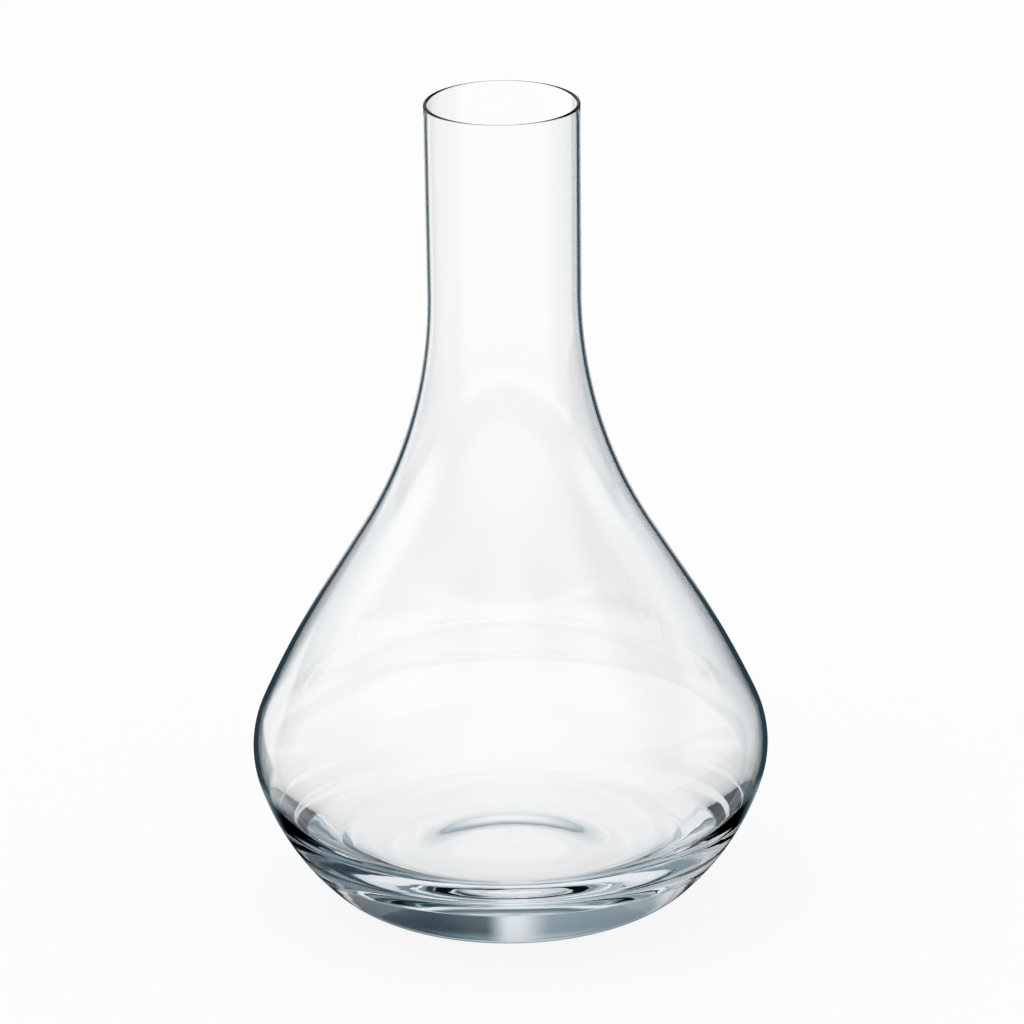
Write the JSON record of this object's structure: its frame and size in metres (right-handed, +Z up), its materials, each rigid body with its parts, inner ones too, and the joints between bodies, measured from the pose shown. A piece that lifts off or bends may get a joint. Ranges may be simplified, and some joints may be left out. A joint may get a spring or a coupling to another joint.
{
  "type": "wine carafe",
  "caption": "Clear blown glass carafe with a narrow neck, sloping shoulders and a wide low belly, for decanting and pouring wine.",
  "frame": {"origin": "centre of the ring that the carafe stands on, at the level of the surface under it", "axes": "+Z up through the mouth; X and Y are any two directions across, since the form is turned about Z"},
  "size_m": [0.155, 0.155, 0.2495],
  "materials": {
    "glass": "clear, fire-polished"
  },
  "bodies": {
    "root": {"carafe": "glass"}
  },
  "joints": []
}
